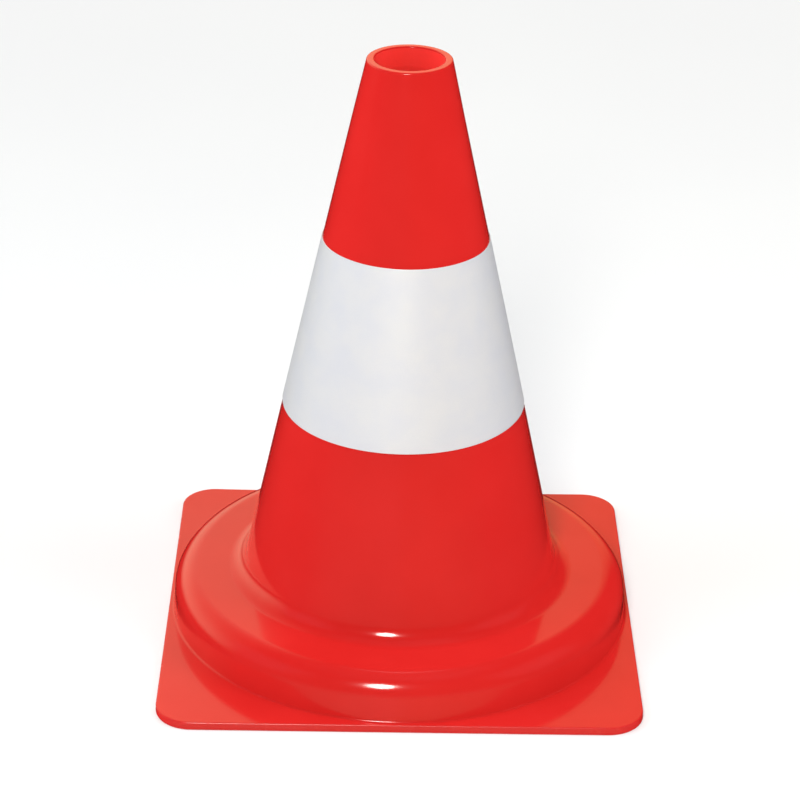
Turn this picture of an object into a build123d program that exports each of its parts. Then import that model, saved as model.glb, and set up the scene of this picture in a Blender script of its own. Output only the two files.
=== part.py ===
from build123d import *
import os
from math import cos, radians, tan

# A small one-piece traffic cone of soft PVC with a white reflective band stuck round it.
# Millimetres, +Z up. The origin is on the ground, on the cone's axis.

# ---- Overall sizes ----
OVERALL_HEIGHT = 300.0  # ground to the top of the rim
BASE_SIDE = 237.0  # across the flats of the square base plate

# ---- Base plate ----
PLATE_THICKNESS = 4.2
PLATE_CORNER_RADIUS = 18.0  # the four upright corners
PLATE_TOP_EDGE_RADIUS = 0.7
PLATE_BOTTOM_EDGE_RADIUS = 0.6

# ---- Raised ring between the plate and the cone ----
RING_HEIGHT = 27.5  # ground to the ring's flat top
RING_DRAFT = 4.0  # degrees that the ring's wall leans in
RING_SHOULDER_RADIUS = 12.0
RING_FOOT_FILLET = 1.2
FOOT_CLEARANCE = 0.4  # flat left between the ring's fillet and the plate's rounded edge

# ---- Cone ----
LEDGE_WIDTH = 34.3  # from the ring's wall to the cone's side, across the ring's top
CONE_ROOT_FILLET = 9.5
WALL = 3.5  # square to the surface up to the cone's root, and across the rim's top
RIM_OUTER_ROUND = 0.8
RIM_INNER_ROUND = 0.5

# ---- Hole in the top, which takes a plug-in lamp or a pole ----
BORE_RADIUS = 17.0
BORE_LENGTH = 10.0  # straight stretch below the rim, where the hollow starts to widen

# ---- Reflective band ----
BAND_BOTTOM = 120.8  # height of its lower edge on the cone
BAND_WIDTH = 88.0  # height that it covers
BAND_THICKNESS = 0.4

# ---- Worked out ----
ring_foot_radius = BASE_SIDE / 2 - PLATE_TOP_EDGE_RADIUS - FOOT_CLEARANCE - RING_FOOT_FILLET
draft_slope = tan(radians(RING_DRAFT))
ring_top_radius = ring_foot_radius - (RING_HEIGHT - PLATE_THICKNESS) * draft_slope
cone_root_radius = ring_top_radius - LEDGE_WIDTH
rim_radius = BORE_RADIUS + WALL
cone_slope = (cone_root_radius - rim_radius) / (OVERALL_HEIGHT - RING_HEIGHT)
cone_cosine = 1 / (1 + cone_slope**2) ** 0.5
cone_sine = cone_slope * cone_cosine
inner_top = RING_HEIGHT - WALL


def ring_inner_radius(z):
    """Radius of the ring's hollow at height z, one wall inside its drafted side."""
    return ring_foot_radius - (z - PLATE_THICKNESS) * draft_slope - WALL / cos(radians(RING_DRAFT))


def cone_radius(z):
    """Radius of the cone's straight side at height z."""
    return rim_radius + (OVERALL_HEIGHT - z) * cone_slope


def point_off_cone(z, out):
    """Point of the section that stands out from the cone's side at height z, square to it."""
    return (cone_radius(z) + out * cone_cosine, z + out * cone_sine)


def turned(corners):
    """Solid of revolution about +Z. Each corner is its radius, its height and how far it is rounded."""
    outline = FilletPolyline(
        *[(r, 0, z) for r, z, _ in corners],
        radius=[rounding for _, _, rounding in corners],
        close=True,
    )
    return revolve(make_face(outline), Axis.Z)


def make_plate():
    """Square base plate with rounded corners, opened to the ring's hollow."""
    plate = extrude(RectangleRounded(BASE_SIDE, BASE_SIDE, PLATE_CORNER_RADIUS), PLATE_THICKNESS)
    plate = fillet(plate.faces().sort_by(Axis.Z)[-1].edges(), PLATE_TOP_EDGE_RADIUS)
    plate = fillet(plate.faces().sort_by(Axis.Z)[0].edges(), PLATE_BOTTOM_EDGE_RADIUS)
    return plate - extrude(Circle(ring_foot_radius), PLATE_THICKNESS)


def make_shell():
    """Ring, cone and rim as one turned wall, hollow from below, and thicker towards the bore."""
    foot_outer = ring_foot_radius + RING_FOOT_FILLET
    inner_root_radius = cone_radius(inner_top) - WALL / cone_cosine
    return turned(
        [
            (foot_outer, PLATE_THICKNESS, 0),
            (ring_foot_radius, PLATE_THICKNESS, RING_FOOT_FILLET),
            (ring_top_radius, RING_HEIGHT, RING_SHOULDER_RADIUS),
            (cone_root_radius, RING_HEIGHT, CONE_ROOT_FILLET),
            (rim_radius, OVERALL_HEIGHT, RIM_OUTER_ROUND),
            (BORE_RADIUS, OVERALL_HEIGHT, RIM_INNER_ROUND),
            (BORE_RADIUS, OVERALL_HEIGHT - BORE_LENGTH, 0),
            (inner_root_radius, inner_top, CONE_ROOT_FILLET + WALL),
            (ring_inner_radius(inner_top), inner_top, RING_SHOULDER_RADIUS - WALL),
            (ring_inner_radius(0), 0, 0),
            (foot_outer, 0, 0),
        ]
    )


def make_cone_body():
    """The whole moulding: plate, ring, cone and rim in one piece of PVC."""
    return make_plate() + make_shell()


def make_reflective_band():
    """Thin sleeve of film that lies on the cone's straight side."""
    band_top = BAND_BOTTOM + BAND_WIDTH
    return turned(
        [
            (*point_off_cone(BAND_BOTTOM, 0), 0),
            (*point_off_cone(BAND_BOTTOM, BAND_THICKNESS), 0),
            (*point_off_cone(band_top, BAND_THICKNESS), 0),
            (*point_off_cone(band_top, 0), 0),
        ]
    )


os.makedirs("parts", exist_ok=True)
export_step(make_cone_body(), "parts/cone_body.step")
export_step(make_reflective_band(), "parts/reflective_band.step")
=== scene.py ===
# %% [markdown]
# # A small traffic cone
#
# A squat road cone is two things: one soft PVC moulding, and one strip of reflective film
# wrapped round it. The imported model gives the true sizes. This file rebuilds both skins as
# fine smooth surfaces, gives each the finish of its real material, and lights them softly.

# %% Load the frame
import math

import bpy
import numpy as np
from mathutils import Matrix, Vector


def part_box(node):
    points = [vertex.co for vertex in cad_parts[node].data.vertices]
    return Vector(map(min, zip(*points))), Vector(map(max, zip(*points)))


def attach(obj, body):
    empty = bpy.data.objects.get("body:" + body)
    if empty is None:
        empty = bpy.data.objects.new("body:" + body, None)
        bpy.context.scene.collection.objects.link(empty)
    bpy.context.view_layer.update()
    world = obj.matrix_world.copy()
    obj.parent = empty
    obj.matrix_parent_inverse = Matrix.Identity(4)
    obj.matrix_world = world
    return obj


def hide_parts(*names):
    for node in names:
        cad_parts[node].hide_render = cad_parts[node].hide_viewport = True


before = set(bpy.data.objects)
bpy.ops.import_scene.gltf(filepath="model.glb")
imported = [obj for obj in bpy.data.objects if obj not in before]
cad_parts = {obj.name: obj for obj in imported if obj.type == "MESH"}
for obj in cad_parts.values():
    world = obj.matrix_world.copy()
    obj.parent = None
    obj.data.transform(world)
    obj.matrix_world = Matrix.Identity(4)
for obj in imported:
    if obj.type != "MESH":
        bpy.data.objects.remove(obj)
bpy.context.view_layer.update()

MM = 0.001

# %% [markdown]
# ## Sizes
#
# The overall height, the base and the band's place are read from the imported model, so that
# the looks can't drift from the design. The smaller sizes, such as walls and roundings, are
# the ones on the moulding's drawing.

# %% Sizes read from the model
high = np.array(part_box("cone_body")[1])
band_low, band_high = (np.array(corner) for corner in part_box("reflective_band"))
HEIGHT = high[2]
HALF_BASE = high[0]
BAND_BOTTOM = band_low[2]
BAND_TOP = band_high[2]
print(f"cone {HEIGHT / MM:.1f} mm high on a {2 * HALF_BASE / MM:.1f} mm base")

# %% Sizes from the drawing
PLATE = 4.2 * MM
PLATE_CORNER = 18 * MM
PLATE_TOP_ROUND = 0.7 * MM
PLATE_BOTTOM_ROUND = 0.6 * MM
RING_HEIGHT = 27.5 * MM
RING_SHOULDER = 12 * MM
RING_FOOT_FILLET = 1.2 * MM
FOOT_CLEARANCE = 0.4 * MM
DRAFT = math.tan(math.radians(4))
LEDGE = 34.3 * MM
ROOT_FILLET = 9.5 * MM
WALL = 3.5 * MM
BORE = 17 * MM
BORE_LENGTH = 10 * MM
RIM_OUTER_ROUND = 0.8 * MM
RIM_INNER_ROUND = 0.5 * MM
HOLLOW_EDGE_ROUND = 0.5 * MM
FILM = 0.4 * MM

ring_foot = HALF_BASE - PLATE_TOP_ROUND - FOOT_CLEARANCE - RING_FOOT_FILLET
ring_top = ring_foot - (RING_HEIGHT - PLATE) * DRAFT
cone_root = ring_top - LEDGE
rim = BORE + WALL
slope = (cone_root - rim) / (HEIGHT - RING_HEIGHT)
tilt = math.atan(slope)
print(f"the cone's side leans in by {math.degrees(tilt):.1f} degrees")


def cone_radius(z):
    """Radius of the cone's side at height z."""
    return rim + (HEIGHT - z) * slope


def ring_hollow_radius(z):
    """Radius of the ring's hollow at height z: the drafted outer wall, one wall thickness in."""
    return ring_foot - (z - PLATE) * DRAFT - WALL * math.hypot(1, DRAFT)


# %% [markdown]
# ## The section through the moulding
#
# A turned shape is easiest to think of as a section: a pencil line that runs up the outside,
# over the rim and down the inside. A lathe or Blender's Screw modifier could spin it, but
# here the base is square, so the section is only the first half of the job. The line is a
# list of corners, each with its rounding, and every rounding is a true arc. Rows of points
# crowd together beside each arc, which keeps the flat stretches flat under smooth shading.

# %% A rounded section line
SUPPORT = 0.35 * MM


def along_run(start, end, count):
    """Points on a straight run: both ends, a close neighbour to each, and even steps between."""
    length = np.linalg.norm(end - start)
    near = min(SUPPORT, length / 4) / length
    share = np.concatenate([[0.0], np.linspace(near, 1 - near, count), [1.0]])
    return start + share[:, None] * (end - start)


def around_corner(corner, before, after, radius, count):
    """Points on the arc that touches both runs that meet at a corner.

    The arc's centre lies on the bisector. Each point is that centre plus the radius times a
    direction that turns evenly from one run's normal to the other's.
    """
    back = (before - corner) / np.linalg.norm(before - corner)
    ahead = (after - corner) / np.linalg.norm(after - corner)
    half = math.acos(np.clip(back @ ahead, -1, 1)) / 2
    bisector = (back + ahead) / np.linalg.norm(back + ahead)
    centre = corner + bisector * radius / math.sin(half)
    first = corner + back * radius / math.tan(half) - centre
    last = corner + ahead * radius / math.tan(half) - centre
    turn = math.pi - 2 * half
    angle = np.linspace(0, turn, count)[:, None]
    return centre + (np.sin(turn - angle) * first + np.sin(angle) * last) / math.sin(turn)


def section_line(corners, arc_rows, run_rows):
    """Rows (radius, height) along a line of runs and arcs; its two ends stay sharp."""
    points = np.array([corner[:2] for corner in corners])
    arcs = [points[:1]]
    for i in range(1, len(points) - 1):
        radius = corners[i][2]
        arcs.append(
            around_corner(points[i], points[i - 1], points[i + 1], radius, arc_rows[i - 1])
            if radius
            else points[i : i + 1]
        )
    arcs.append(points[-1:])
    rows = [arcs[0]]
    for i, count in enumerate(run_rows):
        rows.append(along_run(arcs[i][-1], arcs[i + 1][0], count)[1:-1])
        rows.append(arcs[i + 1])
    return np.concatenate(rows)


# %% The section, from the plate's top round to its underside
bore_bottom = HEIGHT - BORE_LENGTH
inner_top = RING_HEIGHT - WALL
inner_root = cone_radius(inner_top) - WALL / math.cos(tilt)
foot_edge = ring_foot + RING_FOOT_FILLET
hollow_foot = ring_hollow_radius(0)

outside_corners = [
    (foot_edge, PLATE, 0),
    (ring_foot, PLATE, RING_FOOT_FILLET),
    (ring_top, RING_HEIGHT, RING_SHOULDER),
    (cone_root, RING_HEIGHT, ROOT_FILLET),
    (rim, HEIGHT, RIM_OUTER_ROUND),
    ((rim + BORE) / 2, HEIGHT, 0),
]
inside_corners = [
    ((rim + BORE) / 2, HEIGHT, 0),
    (BORE, HEIGHT, RIM_INNER_ROUND),
    (BORE, bore_bottom, RIM_INNER_ROUND),
    (inner_root, inner_top, ROOT_FILLET + WALL),
    (ring_hollow_radius(inner_top), inner_top, RING_SHOULDER - WALL),
    (hollow_foot, 0, HOLLOW_EDGE_ROUND),
    (hollow_foot + FOOT_CLEARANCE + HOLLOW_EDGE_ROUND, 0, 0),
]
outside = section_line(outside_corners, arc_rows=(7, 18, 16, 8), run_rows=(2, 5, 8, 64, 3))
inside = section_line(inside_corners, arc_rows=(6, 5, 12, 10, 5), run_rows=(2, 6, 34, 7, 6, 2))
print(f"the section has {len(outside)} rows outside and {len(inside)} inside")

# %% [markdown]
# ## From a circle to a square
#
# The ring is round and the plate is square, and they are one skin. Every row of the mesh has
# the same columns, so a row can be a circle, the plate's outline, or any blend of the two.
# A column's place on the outline sets its angle on the circle. The corner arcs get more
# columns than their share, because they turn a quarter circle in a few degrees.

# %% Columns round the plate
SIDE_COLUMNS = 60
CORNER_COLUMNS = 24


def plate_columns():
    """Anchor point and outward direction of each column round a square with rounded corners.

    The outline at any inset is the anchor plus the direction times (corner radius - inset).
    Along a side the anchor slides and the direction stays. Round a corner the anchor stays
    at the arc's centre and the direction sweeps through a quarter turn.
    """
    straight = HALF_BASE - PLATE_CORNER
    reach = math.atan2(straight, HALF_BASE)
    slide = HALF_BASE * np.tan(np.linspace(-reach, reach, SIDE_COLUMNS, endpoint=False))
    sweep = np.linspace(0, math.pi / 2, CORNER_COLUMNS, endpoint=False)
    anchors, directions = [], []
    for quarter in range(4):
        turn = quarter * math.pi / 2
        spin = np.array([[math.cos(turn), -math.sin(turn)], [math.sin(turn), math.cos(turn)]])
        side = np.stack([np.full(SIDE_COLUMNS, straight), slide], axis=1)
        corner = np.full((CORNER_COLUMNS, 2), straight)
        out = np.stack([np.cos(sweep), np.sin(sweep)], axis=1)
        anchors += [side @ spin.T, corner @ spin.T]
        directions += [np.tile([1.0, 0.0], (SIDE_COLUMNS, 1)) @ spin.T, out @ spin.T]
    return np.concatenate(anchors), np.concatenate(directions)


anchor, outward = plate_columns()
outline = anchor + PLATE_CORNER * outward
around = outline / np.linalg.norm(outline, axis=1, keepdims=True)
print(f"{len(anchor)} columns, {CORNER_COLUMNS} of them in each corner")


# %% [markdown]
# ## One closed grid for the whole moulding
#
# Going round the section once gives the rows: up the outside, down the hollow, out along the
# underside, up the plate's edge and back in across its top. Each row says how round or square
# it is. The last row joins the first and the last column joins the first, so the grid closes
# on itself like a ring doughnut, and it has no seam, pole or hole to mend.

# %% Rows of the plate
SIDE_HEIGHTS = np.array([0.9, 1.15, 1.3, 1.4, 1.5, 1.65, 2.0, 2.6]) * MM
FLASH_HEIGHT = 1.4 * MM
FLASH_OUT = 0.09 * MM
FLASH_HALF_WIDTH = 0.12 * MM
PLATE_SHARES = np.array([0.004, 0.02, 0.08, 0.2, 0.35, 0.5, 0.65, 0.8, 0.92, 0.98, 0.996])


def quarter_round(radius, count):
    """Inset and drop of points on a quarter circle that rounds an edge, from flat to upright."""
    angle = np.linspace(0, math.pi / 2, count)
    return radius * (1 - np.sin(angle)), radius * (1 - np.cos(angle))


def stack_rows(radius, height, share, inset):
    """Rows as an array of (circle radius, height, share of square, inset of the square)."""
    return np.stack(np.broadcast_arrays(radius, height, share, inset), axis=1)


low_inset, low_drop = quarter_round(PLATE_BOTTOM_ROUND, 6)
top_inset, top_drop = quarter_round(PLATE_TOP_ROUND, 8)
flash = FLASH_OUT * np.exp(-(((SIDE_HEIGHTS - FLASH_HEIGHT) / FLASH_HALF_WIDTH) ** 2))
rows = np.concatenate(
    [
        stack_rows(outside[:, 0], outside[:, 1], 0.0, 0.0),
        stack_rows(inside[1:, 0], inside[1:, 1], 0.0, 0.0),
        stack_rows(inside[-1, 0], 0.0, PLATE_SHARES, PLATE_BOTTOM_ROUND),
        stack_rows(0.0, low_drop, 1.0, low_inset),
        stack_rows(0.0, SIDE_HEIGHTS, 1.0, -flash),
        stack_rows(0.0, PLATE - top_drop[::-1], 1.0, top_inset[::-1]),
        stack_rows(foot_edge, PLATE, 1 - PLATE_SHARES, PLATE_TOP_ROUND),
    ]
)
RIM_ROWS = 8  # the rim's inner half and its rounding, as glossy as the outside
row_number = np.arange(len(rows)) - len(outside)
is_core = (row_number >= RIM_ROWS) & (row_number < len(inside) + len(PLATE_SHARES))


def place(rows):
    """Positions of the grid: (1 - share) of a circle plus share of the square outline."""
    radius, height, share, inset = (rows[:, i, None, None] for i in range(4))
    circle = radius * around
    square = anchor + (PLATE_CORNER - inset) * outward
    flat = (1 - share) * circle + share * square
    return np.concatenate([flat, np.broadcast_to(height, flat[:, :, :1].shape)], axis=2)


grid = place(rows)
print(f"grid of {grid.shape[0]} rows by {grid.shape[1]} columns")


# %% [markdown]
# ## What soft plastic does
#
# Thick PVC shrinks a little unevenly as it cools in the mould, and the thin plate creeps once
# it stands in the sun. No side is quite true, and the gloss shows it as a gentle wobble in
# every reflection. The cone gets a few slow waves, the deepest a sixth of a millimetre, the
# plate's corners lift by less than a millimetre, and the band follows the cone exactly.

# %% Slow waves
WAVES = (  # lobes round the cone, turn in radians per metre of height, depth, phase
    (2, 9.0, 0.16 * MM, 0.4),
    (3, -16.0, 0.09 * MM, 2.1),
    (5, 27.0, 0.05 * MM, 4.0),
    (8, -38.0, 0.025 * MM, 1.2),
)
WAVES_FADE = 0.9  # share of the height above which the waves die away
CORNER_LIFTS = (0.45 * MM, 0.8 * MM, 0.12 * MM, 0.1 * MM)


def smooth_step(value, start, end):
    """0 before start, 1 after end and a smooth S between them."""
    share = np.clip((value - start) / (end - start), 0, 1)
    return share * share * (3 - 2 * share)


def cone_wave(angle, z):
    """How far the cone's wall stands out of true: a sum of sine waves that twist with height.

    The waves die away towards the ring and towards the rim, which both stay true.
    """
    depth = sum(d * np.sin(lobes * angle + twist * z + phase) for lobes, twist, d, phase in WAVES)
    near_ring = smooth_step(z, RING_HEIGHT, 2 * RING_HEIGHT)
    near_rim = smooth_step(-z, -HEIGHT, -WAVES_FADE * HEIGHT)
    return depth * near_ring * near_rim


def plate_lift(x, y):
    """How far the plate curls up: nothing under the ring, most at the tips of the corners."""
    beyond = np.clip(np.hypot(x, y) - foot_edge, 0, None) / (math.sqrt(2) * HALF_BASE - foot_edge)
    corner = (np.where(x > 0, 0, 1) + np.where(y > 0, 0, 2)).astype(int)
    return np.array(CORNER_LIFTS)[corner] * beyond**2


def made_uneven(points):
    """The grid with the cone's waves added square to its axis and the plate's lift added to z."""
    x, y, z = points[..., 0], points[..., 1], points[..., 2]
    radius = np.hypot(x, y)
    swell = 1 + cone_wave(np.arctan2(y, x), z) / radius
    return np.stack([x * swell, y * swell, z + plate_lift(x, y)], axis=-1)


# %% Turning a grid into a mesh
def grid_faces(row_count, column_count, rows_close, columns_close):
    """Four corner indices for every cell of a grid, wrapping round where an edge closes."""
    index = np.arange(row_count * column_count).reshape(row_count, column_count)
    if rows_close:
        index = np.concatenate([index, index[:1]])
    if columns_close:
        index = np.concatenate([index, index[:, :1]], axis=1)
    corners = (index[:-1, :-1], index[:-1, 1:], index[1:, 1:], index[1:, :-1])
    return np.stack(corners, axis=-1).reshape(-1, 4)


def signed_volume(points, faces):
    """Volume inside the faces, a sixth of the sum of triple products; negative if inside out."""
    a, b, c, d = (points[faces[:, i]] for i in range(4))
    triple = np.einsum("ij,ij->i", a, np.cross(b, c)) + np.einsum("ij,ij->i", a, np.cross(c, d))
    return triple.sum() / 6


def make_piece(name, points, faces, attributes=(), uv=None):
    """Mesh object from arrays, faces outward and smooth, with its attributes and UV map."""
    points = points.reshape(-1, 3)
    if signed_volume(points, faces) < 0:
        faces = faces[:, ::-1]
    mesh = bpy.data.meshes.new(name)
    mesh.from_pydata(points.tolist(), [], faces.tolist())
    mesh.polygons.foreach_set("use_smooth", np.ones(len(faces), dtype=bool))
    for key, values in attributes:
        layer = mesh.attributes.new(key, "FLOAT", "POINT")
        layer.data.foreach_set("value", values.reshape(-1).astype(np.float32))
    if uv is not None:
        loops = np.empty(len(mesh.loops), dtype=np.int32)
        mesh.loops.foreach_get("vertex_index", loops)
        layer = mesh.uv_layers.new(name="surface")
        layer.data.foreach_set("uv", uv.reshape(-1, 2)[loops].astype(np.float32).ravel())
    mesh.update()
    mesh.validate()
    piece = bpy.data.objects.new(name, mesh)
    bpy.context.scene.collection.objects.link(piece)
    volume = abs(signed_volume(points, faces))
    print(f"{name}: {2 * len(faces)} triangles, {volume * 1e6:.1f} cubic centimetres")
    return piece


# %% The moulding
on_edge = rows[:, 2] >= 1.0
shape = grid.shape[:2]
moulding = make_piece(
    "cone_moulding",
    made_uneven(grid),
    grid_faces(*shape, rows_close=True, columns_close=True),
    attributes=(
        ("core_side", np.broadcast_to(is_core[:, None], shape)),
        ("ground_edge", np.broadcast_to(on_edge[:, None], shape)),
    ),
)

# %% [markdown]
# ## The reflective band
#
# The film is cut flat as a bent strip, wrapped once round the cone and pressed down. Its two
# ends lap at the back, where the top layer climbs over the bottom one. A closed sleeve would
# be simpler, but the lap and the film's thin cut edge are what tell film from paint. So the
# strip is a flat tube: a thin rounded section carried once round the cone and a little more.

# %% The strip's section and its path
LAP = 12 * MM
CLIMB = 2.5 * MM
GLUE = 0.02 * MM
STRIP_ROWS = 32
STRIP_COLUMNS = 480
EDGE_ROWS = 4


def strip_section():
    """Share of the strip's width and of its thickness, once round its thin section.

    The face runs from the bottom edge to the top, and the back runs down again. Each cut
    edge is a half circle squeezed to the film's thickness.
    """
    near = SUPPORT / (BAND_TOP - BAND_BOTTOM)
    across = np.concatenate([[0.0], np.linspace(near, 1 - near, STRIP_ROWS - 2), [1.0]])
    nose = np.linspace(0, math.pi, EDGE_ROWS + 2)[1:-1]
    nose_out = FILM / 2 * np.sin(nose) / (BAND_TOP - BAND_BOTTOM)
    width = np.concatenate([across, 1 + nose_out, across[::-1], -nose_out])
    depth = np.concatenate(
        [np.ones(STRIP_ROWS), (1 + np.cos(nose)) / 2, np.zeros(STRIP_ROWS), (1 - np.cos(nose)) / 2]
    )
    return width, depth


def wrap_strip():
    """The strip's points: section rows by columns round the cone, and the UVs in metres.

    A column's angle runs from the back, once round and on by the lap. The strip's lift off
    the cone is the glue line, plus one film thickness after a smooth climb at the lap.
    """
    width, depth = strip_section()
    z = BAND_BOTTOM + width * (BAND_TOP - BAND_BOTTOM)
    middle = cone_radius((BAND_BOTTOM + BAND_TOP) / 2)
    turns = np.linspace(0, 2 * math.pi + LAP / middle, STRIP_COLUMNS)
    angle = math.pi / 2 - LAP / (2 * middle) + turns
    climb = smooth_step(turns, 2 * math.pi - CLIMB / middle, 2 * math.pi)
    lift = GLUE + climb[None, :] * (FILM + GLUE) + depth[:, None] * FILM
    radius = cone_radius(z)[:, None] + cone_wave(angle[None, :], z[:, None]) + lift * math.cos(tilt)
    height = z[:, None] + lift * math.sin(tilt)
    points = np.stack([radius * np.cos(angle), radius * np.sin(angle), height], axis=-1)
    uv = np.stack(np.broadcast_arrays(turns[None, :] * middle, z[:, None] - BAND_BOTTOM), axis=-1)
    return points, uv


strip_points, strip_uv = wrap_strip()
section_count, column_count = strip_points.shape[:2]


def end_cap(column, flip):
    """Quads that close a cut end: a ladder between the section's face half and its back half."""
    front_rows = np.arange(-EDGE_ROWS // 2, STRIP_ROWS + EDGE_ROWS // 2)
    back_rows = 2 * STRIP_ROWS + EDGE_ROWS - 1 - front_rows
    front = front_rows % section_count * column_count + column
    back = back_rows % section_count * column_count + column
    quads = np.stack([front[:-1], front[1:], back[1:], back[:-1]], axis=1)
    return quads[:, ::-1] if flip else quads


# %% The band
strip_faces = np.concatenate(
    [
        grid_faces(section_count, column_count, rows_close=True, columns_close=False),
        end_cap(0, flip=True),
        end_cap(column_count - 1, flip=False),
    ]
)
band = make_piece("band_of_film", strip_points, strip_faces, uv=strip_uv)

# %% [markdown]
# ## Finishes
#
# Colours are written the way a colour picker shows them and turned to the linear values that
# light needs by one function. One more function adds a node, so that each material reads as a
# short list of what it is made of.


# %% Colour and node helpers
def linear(hex_colour):
    """Linear RGBA from an sRGB hex colour: the standard curve, a straight toe and a 2.4 power."""
    value = np.array([int(hex_colour[i : i + 2], 16) for i in (1, 3, 5)]) / 255
    curve = np.where(value <= 0.04045, value / 12.92, ((value + 0.055) / 1.055) ** 2.4)
    return (*curve.tolist(), 1.0)


def add(tree, kind, sockets=None, **settings):
    """Adds a node. A socket's value is a number or colour, or another node's output to link."""
    node = tree.nodes.new(kind)
    for name, value in settings.items():
        setattr(node, name, value)
    for name, value in (sockets or {}).items():
        if isinstance(value, bpy.types.NodeSocket):
            tree.links.new(value, node.inputs[name])
        else:
            node.inputs[name].default_value = value
    return node


def new_material(name):
    """An empty node material, its nodes all cleared, and the tree to fill."""
    material = bpy.data.materials.new(name)
    material.use_nodes = True
    tree = material.node_tree
    tree.nodes.clear()
    return material, tree


def blend_colours(tree, share, first, second):
    """Colour that goes from first to second as share goes from 0 to 1."""
    mix = add(tree, "ShaderNodeMix", {0: share, 6: first, 7: second}, data_type="RGBA")
    return mix.outputs[2]


def remap(tree, value, from_low, from_high, to_low, to_high):
    """Value carried from one range to another and held at the ends."""
    sockets = {"Value": value, 1: from_low, 2: from_high, 3: to_low, 4: to_high}
    return add(tree, "ShaderNodeMapRange", sockets).outputs["Result"]


def noise(tree, vector, size, detail=2.0):
    """Soft noise whose lumps are about the given size in metres."""
    sockets = {"Vector": vector, "Scale": 1 / size, "Detail": detail, "Roughness": 0.5}
    return add(tree, "ShaderNodeTexNoise", sockets).outputs["Fac"]


# %% [markdown]
# ### Moulded plasticised PVC
#
# The body is PVC softened with plasticiser and filled with a strong red pigment. It was shot
# into a polished steel mould, so the outside has a wet gloss, broken only by a faint orange
# peel. The core that shapes the hollow isn't polished, and leaves the inside satin. PVC's
# index of refraction is 1.54. In soft light the pigment looks nearly as bright at the cone's
# sides as at its front, more so than an ideal matt surface would. A rough diffuse term gives
# that. The ground takes the shine off the plate's edge and scuffs it.

# %% PVC body material
PVC_IOR = 1.54
PVC_SCATTER = 0.85
SWIRL_SIZE = 45 * MM
SCUFF_SIZE = 3 * MM
SCUFF_MOST = 0.3
SMUDGE_SIZE = 28 * MM
GLOSS_ROUGHNESS = (0.10, 0.14)
SATIN_ROUGHER = 0.28
WORN_ROUGHER = 0.14
PEEL_SIZE = 7 * MM
PEEL_DEPTH = 0.012 * MM
CORE_GRAIN = 0.9 * MM
CORE_DEPTH = 0.03 * MM


def moulded_pvc():
    """Glossy red outside, satin inside painted a lighter red against the shade in the hollow, a
    little scuffed along the plate's edge.
    """
    material, tree = new_material("moulded_plasticised_pvc")
    place_in = add(tree, "ShaderNodeTexCoord").outputs["Object"]
    core = add(tree, "ShaderNodeAttribute", attribute_name="core_side").outputs["Fac"]
    edge = add(tree, "ShaderNodeAttribute", attribute_name="ground_edge").outputs["Fac"]

    swirl = noise(tree, place_in, SWIRL_SIZE, detail=3.0)
    polished = blend_colours(
        tree, remap(tree, swirl, 0.35, 0.65, 0, 1), linear("#D02421"), linear("#D42724")
    )
    # The inside's lighter red is painted light: it offsets the shade inside the hollow.
    pigment_and_painted_inside_light = blend_colours(tree, core, polished, linear("#F03A34"))
    scuff_noise = noise(tree, place_in, SCUFF_SIZE, detail=4.0)
    scuff_spots = remap(tree, scuff_noise, 0.58, 0.8, 0, SCUFF_MOST)
    scuff = add(tree, "ShaderNodeMath", {0: scuff_spots, 1: edge}, operation="MULTIPLY").outputs[0]
    colour = blend_colours(tree, scuff, pigment_and_painted_inside_light, linear("#DA4A3C"))

    smudge_noise = noise(tree, place_in, SMUDGE_SIZE, detail=5.0)
    smudge = remap(tree, smudge_noise, 0.3, 0.7, *GLOSS_ROUGHNESS)
    satin = remap(tree, core, 0, 1, 0, SATIN_ROUGHER)
    worn = remap(tree, edge, 0, 1, 0, WORN_ROUGHER)
    rough = add(tree, "ShaderNodeMath", {0: smudge, 1: satin}, operation="ADD").outputs[0]
    rough = add(tree, "ShaderNodeMath", {0: rough, 1: worn}, operation="ADD").outputs[0]

    peel = add(
        tree,
        "ShaderNodeBump",
        {"Height": noise(tree, place_in, PEEL_SIZE), "Distance": PEEL_DEPTH, "Strength": 1.0},
    )
    grain = add(
        tree,
        "ShaderNodeBump",
        {
            "Height": noise(tree, place_in, CORE_GRAIN),
            "Distance": CORE_DEPTH,
            "Strength": core,
            "Normal": peel.outputs[0],
        },
    )
    shader = add(
        tree,
        "ShaderNodeBsdfPrincipled",
        {
            "Base Color": colour,
            "Roughness": rough,
            "Diffuse Roughness": PVC_SCATTER,
            "IOR": PVC_IOR,
            "Normal": grain.outputs[0],
        },
    )
    add(tree, "ShaderNodeOutputMaterial", {"Surface": shader.outputs[0]})
    return material


# %% [markdown]
# ### Glass-bead retroreflective film
#
# The band is a plastic film over tiny glass beads that sit on a silvery backing. By day it
# reads as a cool white with a slight pearl and no mirror: the beads scatter what the backing
# reflects. A bead is about 0.06 mm, far too fine to see, so its grain is drawn ten times
# coarser. The pearl is a slow mottling about 14 mm across from the roller that laid the beads.

# %% Film material
FILM_IOR = 1.5
FILM_SILVER = 0.22
FILM_ROUGHNESS = (0.44, 0.54)
BEAD_GRAIN = 0.6 * MM
BEAD_DEPTH = 0.006 * MM
BEAD_SHADE = 0.12
PEARL_SIZE = 14 * MM


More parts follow.
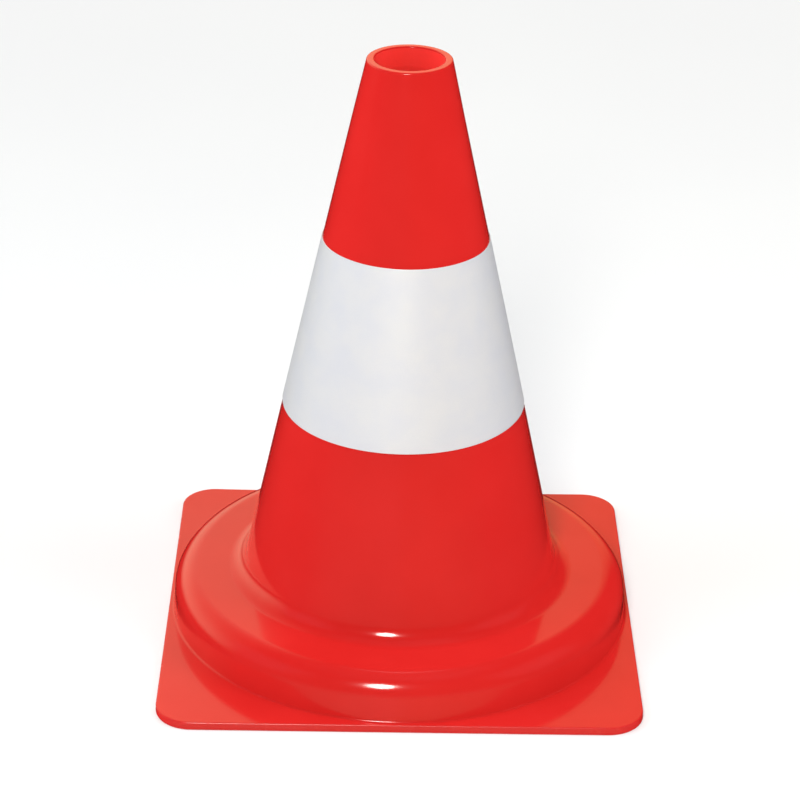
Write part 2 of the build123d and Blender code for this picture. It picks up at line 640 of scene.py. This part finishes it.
def bead_film():
    """Pearly cool white with a soft silver sheen and a fine bead grain."""
    material, tree = new_material("glass_bead_retroreflective_film")
    place_in = add(tree, "ShaderNodeUVMap", uv_map="surface").outputs["UV"]
    pearl = remap(tree, noise(tree, place_in, PEARL_SIZE, detail=3.0), 0.35, 0.65, 0, 1)
    base = blend_colours(tree, pearl, linear("#DBDBDE"), linear("#DFDEDE"))
    beads = noise(tree, place_in, BEAD_GRAIN, detail=1.0)
    shade = remap(tree, beads, 0.4, 0.8, 0, BEAD_SHADE)
    colour = blend_colours(tree, shade, base, linear("#CED1D7"))
    rough = remap(tree, beads, 0.3, 0.7, *FILM_ROUGHNESS)
    bump = add(
        tree, "ShaderNodeBump", {"Height": beads, "Distance": BEAD_DEPTH, "Strength": 1.0}
    )
    shader = add(
        tree,
        "ShaderNodeBsdfPrincipled",
        {
            "Base Color": colour,
            "Metallic": FILM_SILVER,
            "Roughness": rough,
            "IOR": FILM_IOR,
            "Normal": bump.outputs[0],
        },
    )
    add(tree, "ShaderNodeOutputMaterial", {"Surface": shader.outputs[0]})
    return material


# %% Put both pieces on the frame
PIECES = (
    (moulding, "cone_body", "red_pvc", moulded_pvc()),
    (band, "reflective_band", "reflective_film", bead_film()),
)
for piece, node, slot, material in PIECES:
    piece.data.materials.append(material)
    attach(piece, "root")
    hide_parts(node)
    print(f"{piece.name} stands for {node} in {material.name}")

# %% [markdown]
# ## Floor, surroundings and light
#
# The cone stands on a pale floor, as on a studio table. Gloss is only as good as what it
# mirrors: here a bright sweep rises behind the cone and the room in front is dim, so level
# faces shine pale and the upright front stays a deep red. The floor is kept out of the
# reflections, because its white would wash the red out.
#
# One key light makes the small sharp highlights. Wide fills at both sides, above and behind
# light the form, and stay out of the reflections too.

# %% Floor
FLOOR_RADIUS = 12.0
FLOOR_SIDES = 96
FLOOR_MOTTLE = 0.5
FLOOR_GLOW = 0.15
FADE_START = 0.5
FADE_END = 1.8
PALE_BACKDROP = 0.98


def pale_floor():
    """A wide disc on the ground plane in matt off-white paint.

    The paint fades to black and its own glow grows with the distance from the middle. Far out
    it glows as brightly as the backdrop, so that no horizon line shows behind the cone.
    """
    angle = np.linspace(0, 2 * math.pi, FLOOR_SIDES, endpoint=False)
    rim_points = FLOOR_RADIUS * np.stack([np.cos(angle), np.sin(angle), 0 * angle], axis=1)
    mesh = bpy.data.meshes.new("floor")
    mesh.from_pydata(rim_points.tolist(), [], [list(range(len(angle)))])
    floor = bpy.data.objects.new("floor", mesh)
    bpy.context.scene.collection.objects.link(floor)
    material, tree = new_material("matt_studio_floor")
    vector = add(tree, "ShaderNodeTexCoord").outputs["Object"]
    tone = remap(tree, noise(tree, vector, FLOOR_MOTTLE), 0.3, 0.7, 0, 1)
    distance = add(tree, "ShaderNodeVectorMath", {0: vector}, operation="LENGTH").outputs["Value"]
    far = remap(tree, distance, FADE_START, FADE_END, 0, 1)
    paint = blend_colours(tree, tone, linear("#E2E2E2"), linear("#E6E6E5"))
    shader = add(
        tree,
        "ShaderNodeBsdfPrincipled",
        {
            "Base Color": blend_colours(tree, far, paint, linear("#000000")),
            "Roughness": 0.9,
            "Specular IOR Level": 0.0,
            "Emission Color": linear("#FFFFFF"),
            "Emission Strength": remap(tree, far, 0, 1, FLOOR_GLOW, PALE_BACKDROP),
        },
    )
    add(tree, "ShaderNodeOutputMaterial", {"Surface": shader.outputs[0]})
    mesh.materials.append(material)
    floor.visible_glossy = False


pale_floor()

# %% Surroundings
SWEEP_GLOW = 1.15
SWEEP_TINT = (1.0, 0.97, 0.66, 1.0)
SWEEP_RIGHT_TINT = (1.0, 0.71, 0.32, 1.0)
SWEEP_SIDE = 34  # degrees that its middle is turned to the left
ROOM_GLOW = 0.08
APRON_GLOW = 0.4
WHITE = (1.0, 1.0, 1.0, 1.0)


def surroundings():
    """A dark room with a warm bright sweep behind the cone and a faint glow before it.

    The sweep's share is a ramp in how nearly a direction points at the sweep's middle, times
    a ramp up from the horizon and one down towards the ceiling. The glow in front grows below
    the horizon, where a floor lies. The sweep turns more orange to the right of the middle.
    Where the camera looks straight at it the backdrop is plain and pale all round.
    """
    world = bpy.data.worlds.new("studio")
    world.use_nodes = True
    tree = world.node_tree
    tree.nodes.clear()
    direction = add(tree, "ShaderNodeTexCoord").outputs["Generated"]
    parts = add(tree, "ShaderNodeSeparateXYZ", {0: direction}).outputs

    def product(first, second):
        return add(tree, "ShaderNodeMath", {0: first, 1: second}, operation="MULTIPLY").outputs[0]

    turn = math.radians(SWEEP_SIDE)
    middle = (-math.sin(turn), math.cos(turn), 0.0)
    towards = add(tree, "ShaderNodeVectorMath", {0: direction, 1: middle}, operation="DOT_PRODUCT")
    behind = remap(tree, towards.outputs["Value"], 0.45, 0.75, 0, SWEEP_GLOW)
    over_horizon = remap(tree, parts["Z"], -0.08, 0.14, 0, 1)
    under_ceiling = remap(tree, parts["Z"], 0.35, 1.0, 1, 0)
    sweep = product(behind, product(over_horizon, under_ceiling))
    in_front = remap(tree, parts["Y"], -0.95, -0.3, 1, 0)
    glow = product(in_front, remap(tree, parts["Z"], -0.35, 0.0, APRON_GLOW, ROOM_GLOW))
    level = add(tree, "ShaderNodeMath", {0: sweep, 1: glow}, operation="ADD").outputs[0]
    seen = add(tree, "ShaderNodeLightPath").outputs["Is Camera Ray"]
    strength = add(
        tree, "ShaderNodeMix", {0: seen, 2: level, 3: PALE_BACKDROP}, data_type="FLOAT"
    ).outputs[0]
    to_right = remap(tree, parts["X"], -0.08, 0.12, 0, 1)
    warmth = blend_colours(tree, to_right, SWEEP_TINT, SWEEP_RIGHT_TINT)
    tint = blend_colours(tree, seen, warmth, WHITE)
    background = add(tree, "ShaderNodeBackground", {"Color": tint, "Strength": strength})
    add(tree, "ShaderNodeOutputWorld", {"Surface": background.outputs[0]})
    bpy.context.scene.world = world


surroundings()

# %% Lights
def aimed(position, target):
    """Matrix of something whose -Z axis points at a target that isn't straight below it."""
    away = np.array(position, float) - target
    away /= np.linalg.norm(away)
    side = np.cross((0, 0, 1), away)
    side /= np.linalg.norm(side)
    up = np.cross(away, side)
    matrix = Matrix.Identity(4)
    for row in range(3):
        matrix[row] = (side[row], up[row], away[row], position[row])
    return matrix


def softbox(name, shape, azimuth, elevation, distance, width, height, power, tint, mirrored):
    """Flat light at an azimuth from the front, in degrees, that faces the middle of the cone."""
    a, e = math.radians(azimuth), math.radians(elevation)
    middle = np.array((0.0, 0.0, HEIGHT / 3))
    towards = np.array((math.sin(a) * math.cos(e), -math.cos(a) * math.cos(e), math.sin(e)))
    spot = middle + distance * towards
    light = bpy.data.lights.new(name, "AREA")
    light.shape = shape
    light.size = width
    light.size_y = height
    light.energy = power
    light.color = linear(tint)[:3]
    lamp = bpy.data.objects.new(name, light)
    bpy.context.scene.collection.objects.link(lamp)
    lamp.matrix_world = aimed(spot, middle)
    lamp.visible_camera = False
    lamp.visible_glossy = mirrored
    return lamp


LIGHTS = (  # name, shape, azimuth, elevation, distance, width, height, watts, tint, mirrored
    ("key", "ELLIPSE", -9.5, 36, 2.2, 0.46, 0.8, 29, "#FFFCF6", True),
    ("left_fill", "RECTANGLE", -76, 28, 2.5, 1.8, 1.8, 33, "#DCE8FF", False),
    ("right_fill", "RECTANGLE", 76, 28, 2.5, 1.8, 1.8, 36, "#F4F7FF", False),
    ("top_fill", "RECTANGLE", 0, 88, 2.5, 2.0, 2.0, 23, "#FFFFFF", False),
    ("back_fill", "RECTANGLE", 180, 35, 2.5, 1.8, 1.8, 12, "#FFFFFF", False),
)
for settings in LIGHTS:
    softbox(*settings)
print(f"{len(LIGHTS)} lights")

# %% [markdown]
# ## Camera
#
# A long lens from about 1.4 m, looking down by 26 degrees. Held by hand, it leans by one
# degree, which is why the cone seems to lean to the right.

# %% Camera
CAMERA_PLACE = (-0.0144, -1.2793, 0.7568)
LOOK_DOWN = 26.46
LOOK_RIGHT = 0.573
CAMERA_ROLL = 1.08
LENS = 128.7

camera_data = bpy.data.cameras.new("camera")
camera_data.lens = LENS
camera_data.sensor_width = 36
camera = bpy.data.objects.new("camera", camera_data)
bpy.context.scene.collection.objects.link(camera)
camera.matrix_world = (
    Matrix.Translation(CAMERA_PLACE)
    @ Matrix.Rotation(math.radians(-LOOK_RIGHT), 4, "Z")
    @ Matrix.Rotation(math.radians(90 - LOOK_DOWN), 4, "X")
    @ Matrix.Rotation(math.radians(CAMERA_ROLL), 4, "Z")
)
bpy.context.scene.camera = camera
bpy.context.scene.view_settings.view_transform = "Standard"
